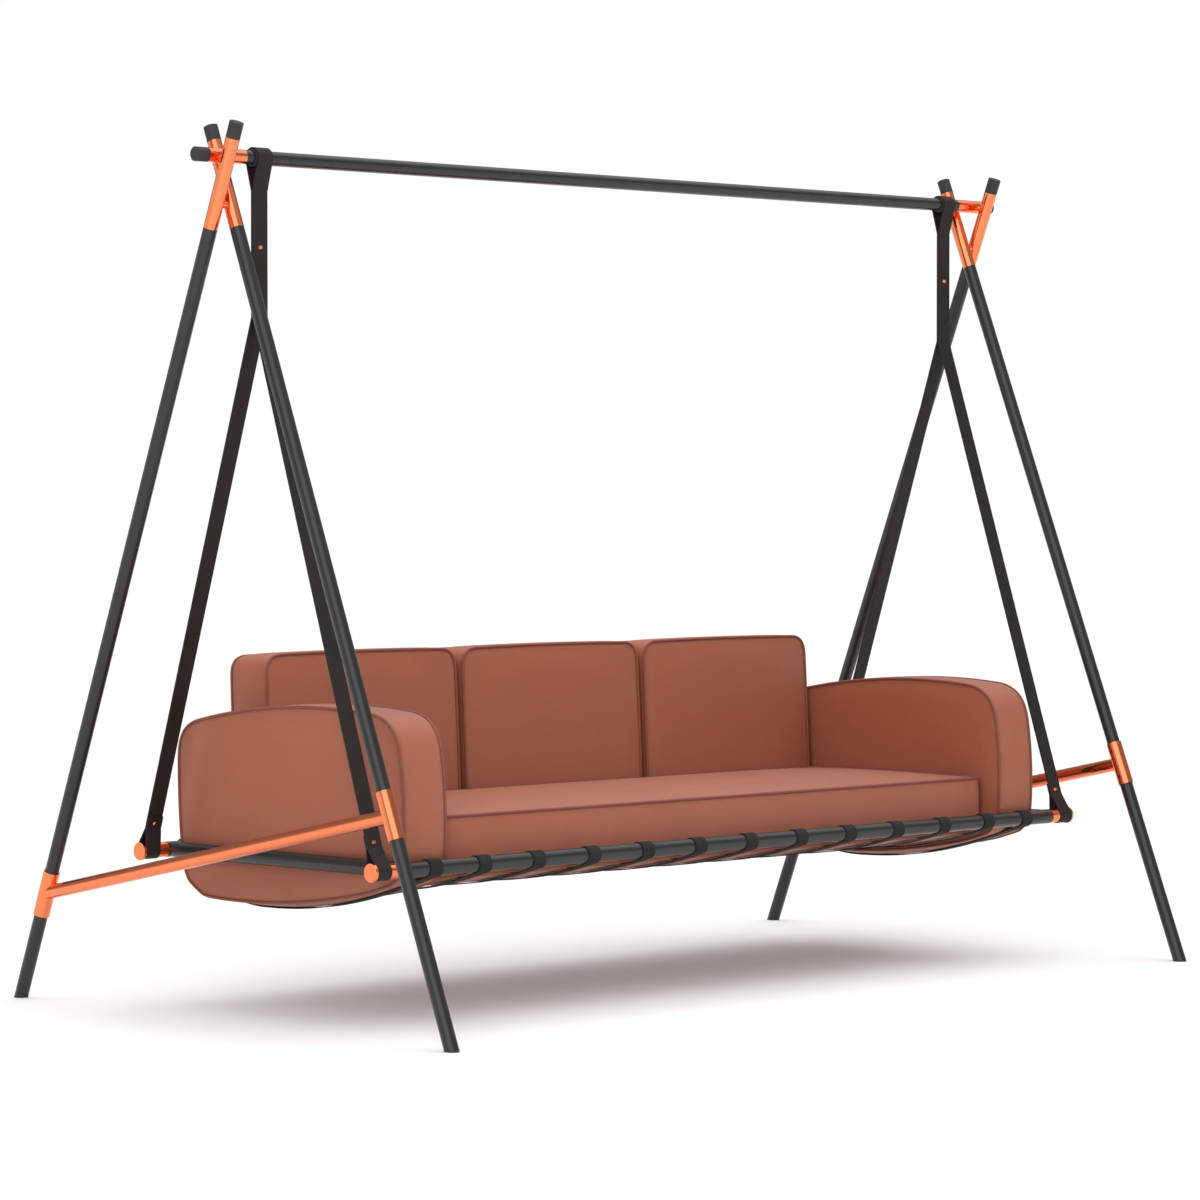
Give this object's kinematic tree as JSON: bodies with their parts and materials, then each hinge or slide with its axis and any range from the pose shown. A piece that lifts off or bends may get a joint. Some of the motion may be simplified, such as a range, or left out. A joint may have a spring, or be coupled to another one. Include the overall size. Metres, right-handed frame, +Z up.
{
  "type": "glider swing",
  "caption": "Three-seat sofa swing with leather cushions on webbing slings, hung by straps from a beam on crossed black legs with copper fittings.",
  "frame": {"origin": "on the floor under the middle of the stand", "axes": "+X along the sofa to the sitter's left, -Y to the front, +Z up"},
  "size_m": [2.826, 1.5366, 2.0922],
  "materials": {
    "black_tube": "satin",
    "black_plastic": "matte",
    "bush_plastic": "satin",
    "copper": "polished",
    "screw_steel": "satin",
    "stay_steel": "matte",
    "strap": "matte",
    "webbing": "matte",
    "leather": "satin"
  },
  "bodies": {
    "stand": {"beam_end_caps": "black_plastic", "front_left_foot_pad": "black_plastic", "front_left_leg": "black_tube", "front_left_tee": "copper", "front_right_foot_pad": "black_plastic", "front_right_leg": "black_tube", "front_right_tee": "copper", "left_cross_brace": "copper", "left_crossing": "copper", "leg_top_caps": "black_plastic", "rear_left_foot_pad": "black_plastic", "rear_left_leg": "black_tube", "rear_left_tee": "copper", "rear_right_foot_pad": "black_plastic", "rear_right_leg": "black_tube", "rear_right_tee": "copper", "right_cross_brace": "copper", "right_crossing": "copper", "tee_set_screws": "screw_steel", "top_beam": "black_tube"},
    "swing": {"arm_stays": "stay_steel", "back_stays": "stay_steel", "front_left_hanger_branch": "strap", "front_rail": "black_tube", "front_right_hanger_branch": "strap", "left_arm_cushion": "leather", "left_back_cushion": "leather", "left_hanger_bush": "bush_plastic", "left_hanger_strap": "strap", "left_side_rail": "black_tube", "lower_rivets": "copper", "middle_back_cushion": "leather", "rail_end_discs": "copper", "rail_end_fittings": "copper", "rear_left_hanger_branch": "strap", "rear_rail": "black_tube", "rear_right_hanger_branch": "strap", "right_arm_cushion": "leather", "right_back_cushion": "leather", "right_hanger_bush": "bush_plastic", "right_hanger_strap": "strap", "right_side_rail": "black_tube", "seat_cushion": "leather", "sling_strap_1": "webbing", "sling_strap_10": "webbing", "sling_strap_11": "webbing", "sling_strap_12": "webbing", "sling_strap_13": "webbing", "sling_strap_2": "webbing", "sling_strap_3": "webbing", "sling_strap_4": "webbing", "sling_strap_5": "webbing", "sling_strap_6": "webbing", "sling_strap_7": "webbing", "sling_strap_8": "webbing", "sling_strap_9": "webbing", "upper_rivets": "copper"}
  },
  "joints": [
    {"name": "swing_on_beam", "type": "hinge", "parent": "stand", "child": "swing", "pos_m": [0, 0, 2.0136], "axis": [1, 0, 0], "range_deg": [-25, 25]}
  ]
}
